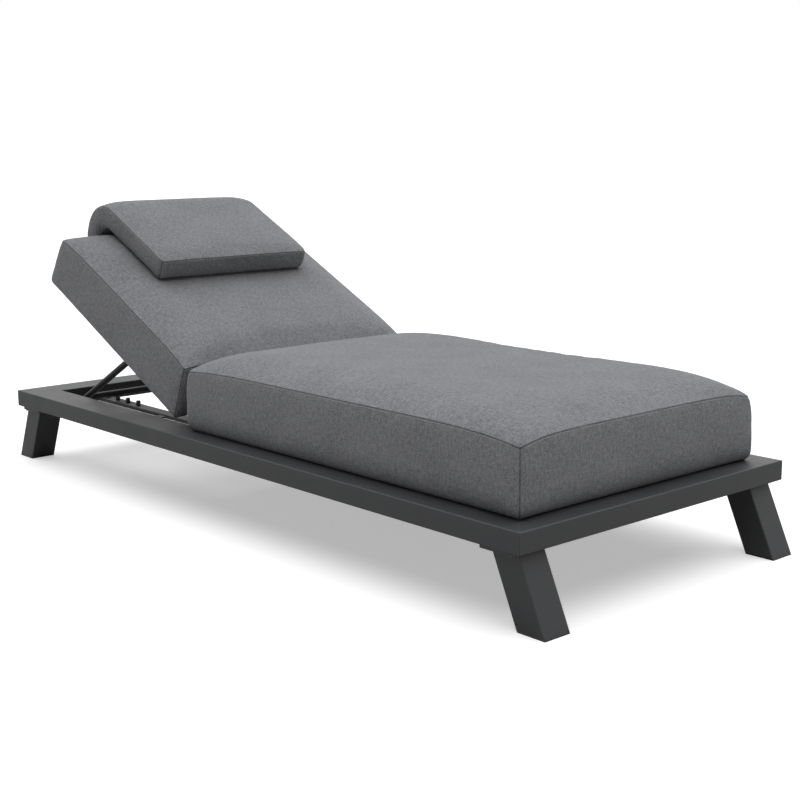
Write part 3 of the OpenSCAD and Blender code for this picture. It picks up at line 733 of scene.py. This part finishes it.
def coating(name, colour, roughness, grain, lift, specular=0.4, mottle=0.12):
    material, shader = new_material(name)
    add, link = node_adder(material)
    place_at = add("ShaderNodeTexCoord").outputs["Object"]
    wide = add("ShaderNodeTexNoise", Scale=MOTTLE_SCALE, Detail=3.0, Roughness=0.55)
    fine = add("ShaderNodeTexNoise", Scale=1 / grain, Detail=2.0, Roughness=0.6)
    link(place_at, wide.inputs["Vector"])
    link(place_at, fine.inputs["Vector"])
    both = blend_of(add, link, wide.outputs["Fac"], fine.outputs["Fac"], FINE_GRAIN_SHARE)
    darker = [c * (1 - mottle) for c in colour]
    lighter = [c * (1 + mottle) for c in colour]
    mottled = two_tone(add, link, both, NOISE_LOW, darker, NOISE_HIGH, lighter)

    # Painted highlight: the edges are painted paler, standing in for the light their rounding catches, and the
    # bevel rounds their normals
    rounded = add("ShaderNodeBevel", samples=6)
    rounded.inputs["Radius"].default_value = EDGE_R
    facing = add("ShaderNodeNewGeometry")
    alike = add("ShaderNodeVectorMath", operation="DOT_PRODUCT")
    link(rounded.outputs["Normal"], alike.inputs[0])
    link(facing.outputs["True Normal"], alike.inputs[1])
    on_edge = add("ShaderNodeMapRange")
    on_edge.inputs["From Min"].default_value = 1.0
    on_edge.inputs["From Max"].default_value = EDGE_TURN
    on_edge.inputs["To Max"].default_value = EDGE_HIGHLIGHT_SHARE
    link(alike.outputs["Value"], on_edge.inputs["Value"])
    painted_edge_highlight = add("ShaderNodeMix", data_type="RGBA")
    painted_edge_highlight.inputs[SECOND_COLOUR].default_value = (*[c * EDGE_HIGHLIGHT_LIFT for c in colour], 1)
    link(on_edge.outputs["Result"], painted_edge_highlight.inputs[FACTOR])
    link(mottled, painted_edge_highlight.inputs[FIRST_COLOUR])
    link(painted_edge_highlight.outputs[MIXED_COLOUR], shader.inputs["Base Color"])
    rough = add("ShaderNodeMapRange")
    rough.inputs["From Min"].default_value = NOISE_LOW
    rough.inputs["From Max"].default_value = NOISE_HIGH
    rough.inputs["To Min"].default_value = roughness - ROUGHNESS_SPREAD
    rough.inputs["To Max"].default_value = roughness + ROUGHNESS_SPREAD
    link(wide.outputs["Fac"], rough.inputs["Value"])
    link(rough.outputs["Result"], shader.inputs["Roughness"])
    bump = add("ShaderNodeBump", Strength=0.4, Distance=lift)
    link(fine.outputs["Fac"], bump.inputs["Height"])
    link(rounded.outputs["Normal"], bump.inputs["Normal"])
    link(bump.outputs["Normal"], shader.inputs["Normal"])
    shader.inputs["Specular IOR Level"].default_value = specular
    return material


finishes = {
    "frame_anthracite": coating(
        "anthracite_powder_coat", (0.025, 0.026, 0.028), roughness=0.52,
        grain=0.9 * MM, lift=0.10 * MM, specular=0.46),
    "prop_black": coating(
        "black_powder_coat", (0.022, 0.022, 0.023), roughness=0.5,
        grain=0.8 * MM, lift=0.08 * MM, specular=0.25),
    "fastener_black": coating(
        "blackened_steel", (0.016, 0.016, 0.017), roughness=0.36,
        grain=0.5 * MM, lift=0.04 * MM, specular=0.5),
    "plastic_black": coating(
        "moulded_nylon", (0.014, 0.014, 0.015), roughness=0.5,
        grain=1.2 * MM, lift=0.05 * MM, mottle=0.06),
    "fabric_grey": fabric,
}
for part in frame["record"]["subparts"]:
    node = frame["nodes"][part["node"]]
    for own_slot in node.material_slots:
        own_slot.material = finishes[part["material_slot"]]
print(len(frame["nodes"]), "frame pieces finished")

# %% [markdown]
# ## The dressed corner welds
#
# The rails meet in mitres. Each joint is welded, ground nearly flush and coated over, which
# leaves a thin soft line up the corner and across the top and the underside, and rounds the
# corner's sharp edge so that it catches the light. Three slim rods with rounded ends make the
# weld of one corner, which is mirrored to all four.

# %% Weld the four corners
BEAD_R = 2.2 * MM
BEAD_PROUD = 0.5 * MM
LINE_R = 1.5 * MM
LINE_PROUD = 0.2 * MM
LINE_FROM_CORNER = 3 * MM
ROD_END_ROUND = 0.6
ROD_END_FACING = 0.9
rail_low, rail_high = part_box("side_rail_right")
end_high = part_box("head_rail")[1]
rail_w = rail_high.x - rail_low.x


def rod(name, start, end, radius):
    start, end = Vector(start), Vector(end)
    start_alone()
    bpy.ops.mesh.primitive_cylinder_add(
        vertices=16, radius=radius, depth=(end - start).length, end_fill_type="NGON")
    piece = bpy.context.object
    piece.name = piece.data.name = name
    bpy.ops.object.mode_set(mode="EDIT")
    bpy.ops.mesh.select_all(action="DESELECT")
    mesh = bmesh.from_edit_mesh(piece.data)
    for face in mesh.faces:
        face.select_set(abs(face.normal.z) > ROD_END_FACING)
    bmesh.update_edit_mesh(piece.data)
    bpy.ops.mesh.bevel(offset=radius * ROD_END_ROUND, segments=3, affect="EDGES")
    bpy.ops.object.mode_set(mode="OBJECT")
    turn = (end - start).to_track_quat("Z", "Y").to_matrix().to_4x4()
    place(piece, Matrix.Translation((start + end) / 2) @ turn)
    make_active(piece)
    bpy.ops.object.shade_smooth_by_angle(angle=math.radians(40))
    return piece


corner = Vector((rail_high.x, end_high.y))
bead_at = corner - Vector((1, 1)) * (BEAD_R - BEAD_PROUD)
inner = corner - Vector((rail_w, rail_w))
line_drop = LINE_R - LINE_PROUD
beads = [rod("bead", (*bead_at, rail_low.z + BEAD_R), (*bead_at, rail_high.z - BEAD_R), BEAD_R)]
outer = corner - Vector((1, 1)) * LINE_FROM_CORNER
for z in (rail_high.z - line_drop, rail_low.z + line_drop):
    beads.append(rod("line", (*outer, z), (*inner, z), LINE_R))
start_alone()
for bead in beads:
    bead.select_set(True)
bpy.context.view_layer.objects.active = beads[0]
bpy.ops.object.join()
first_weld = bpy.context.object
for side, side_name in ((1, "right"), (-1, "left")):
    for end, end_name in ((1, "head"), (-1, "foot")):
        weld = first_weld.copy()
        weld.data = first_weld.data.copy()
        weld.name = f"corner_weld_{side_name}_{end_name}"
        bpy.context.scene.collection.objects.link(weld)
        place(weld, Matrix.Diagonal((side, end, 1, 1)))
        make_active(weld)
        bpy.ops.object.mode_set(mode="EDIT")
        bpy.ops.mesh.select_all(action="SELECT")
        bpy.ops.mesh.normals_make_consistent(inside=False)
        bpy.ops.object.mode_set(mode="OBJECT")
        weld.data.materials.clear()
        weld.data.materials.append(finishes["frame_anthracite"])
        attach(weld, "root")
bpy.data.objects.remove(first_weld)

# %% [markdown]
# ## Floor, light and camera
#
# The photograph is a studio shot on white: light falls softly from above, a little from the
# head end and the right, and fades to white everywhere. The camera sees an overexposed floor
# that keeps only the shadow. All other rays see a plain pale floor, which lights the sides
# and legs from below. The sky is white only where the camera or a reflection sees it.

# %% Lay the floor
FLOOR_SIZE = 60
start_alone()
bpy.ops.mesh.primitive_grid_add(x_subdivisions=4, y_subdivisions=4, size=FLOOR_SIZE)
floor = bpy.context.object
floor.name = "studio_floor"
floor_paint, shader = new_material("pale_floor")
add, link = node_adder(floor_paint)
floor_paint.node_tree.nodes.remove(shader)
FLOOR_SEEN = 0.76
FLOOR_GLOW = 0.44
FLOOR_BOUNCE = 0.62
seen = add("ShaderNodeBsdfDiffuse", Color=grey(FLOOR_SEEN))
glow = add("ShaderNodeEmission", Strength=FLOOR_GLOW)
seen_and_glow = add("ShaderNodeAddShader")
bounce = add("ShaderNodeBsdfDiffuse", Color=grey(FLOOR_BOUNCE))
choose = add("ShaderNodeMixShader")
rays = add("ShaderNodeLightPath")
link(seen.outputs[0], seen_and_glow.inputs[0])
link(glow.outputs[0], seen_and_glow.inputs[1])
link(rays.outputs["Is Camera Ray"], choose.inputs[0])
link(bounce.outputs[0], choose.inputs[1])
link(seen_and_glow.outputs[0], choose.inputs[2])
link(choose.outputs[0], floor_paint.node_tree.nodes["Material Output"].inputs["Surface"])
floor.data.materials.append(floor_paint)

# %% Light the studio
SKY = 0.08
SUN = 3.6
SUN_ANGLE = 95
SUN_TILT_TO_HEAD = 5
SUN_TILT_TO_RIGHT = 8
world = bpy.data.worlds.new("studio")
bpy.context.scene.world = world
world.use_nodes = True
add, link = node_adder(world)
sky = world.node_tree.nodes["Background"]
sky.inputs["Color"].default_value = grey(1)
sky.inputs["Strength"].default_value = SKY
white = add("ShaderNodeBackground", Color=grey(1))
sky_rays = add("ShaderNodeLightPath")
either = add("ShaderNodeMath", operation="MAXIMUM")
sky_mix = add("ShaderNodeMixShader")
link(sky_rays.outputs["Is Camera Ray"], either.inputs[0])
link(sky_rays.outputs["Is Glossy Ray"], either.inputs[1])
link(either.outputs[0], sky_mix.inputs[0])
link(sky.outputs[0], sky_mix.inputs[1])
link(white.outputs[0], sky_mix.inputs[2])
link(sky_mix.outputs[0], world.node_tree.nodes["World Output"].inputs["Surface"])

lamp = bpy.data.lights.new("overhead", "SUN")
lamp.energy = SUN
lamp.angle = math.radians(SUN_ANGLE)
sun = bpy.data.objects.new("overhead", lamp)
bpy.context.scene.collection.objects.link(sun)
sun.rotation_euler = (math.radians(-SUN_TILT_TO_HEAD), math.radians(SUN_TILT_TO_RIGHT), 0)

# %% [markdown]
# ## The camera
#
# It stands where the photographer's stood, found by fitting 20 points of the lounger and 9
# points along its edges to the photograph: in front of the foot end, to the left, about
# 0.9 m above the floor.

# %% Set the camera
CAMERA_AT = (-2.1737, -2.6749, 0.9111)
CAMERA_AZIMUTH = -41.259
CAMERA_ELEVATION = 10.802
CAMERA_ROLL = -0.5
CAMERA_LENS = 62.09
CAMERA_SEES_TO = 200
azimuth, elevation = math.radians(CAMERA_AZIMUTH), math.radians(CAMERA_ELEVATION)
roll = math.radians(CAMERA_ROLL)
backwards = Vector((
    math.sin(azimuth) * math.cos(elevation),
    -math.cos(azimuth) * math.cos(elevation),
    math.sin(elevation),
))
right = (-backwards).cross(Vector((0, 0, 1))).normalized()
upwards = right.cross(-backwards)
rolled_right = right * math.cos(roll) + upwards * math.sin(roll)
rolled_up = upwards * math.cos(roll) - right * math.sin(roll)
lens = bpy.data.cameras.new("camera")
lens.lens = CAMERA_LENS
lens.clip_end = CAMERA_SEES_TO
camera = bpy.data.objects.new("camera", lens)
bpy.context.scene.collection.objects.link(camera)
camera.matrix_world = Matrix.Translation(CAMERA_AT) @ Matrix(
    (rolled_right, rolled_up, backwards)
).transposed().to_4x4()
bpy.context.scene.camera = camera
bpy.context.scene.view_settings.view_transform = "Standard"
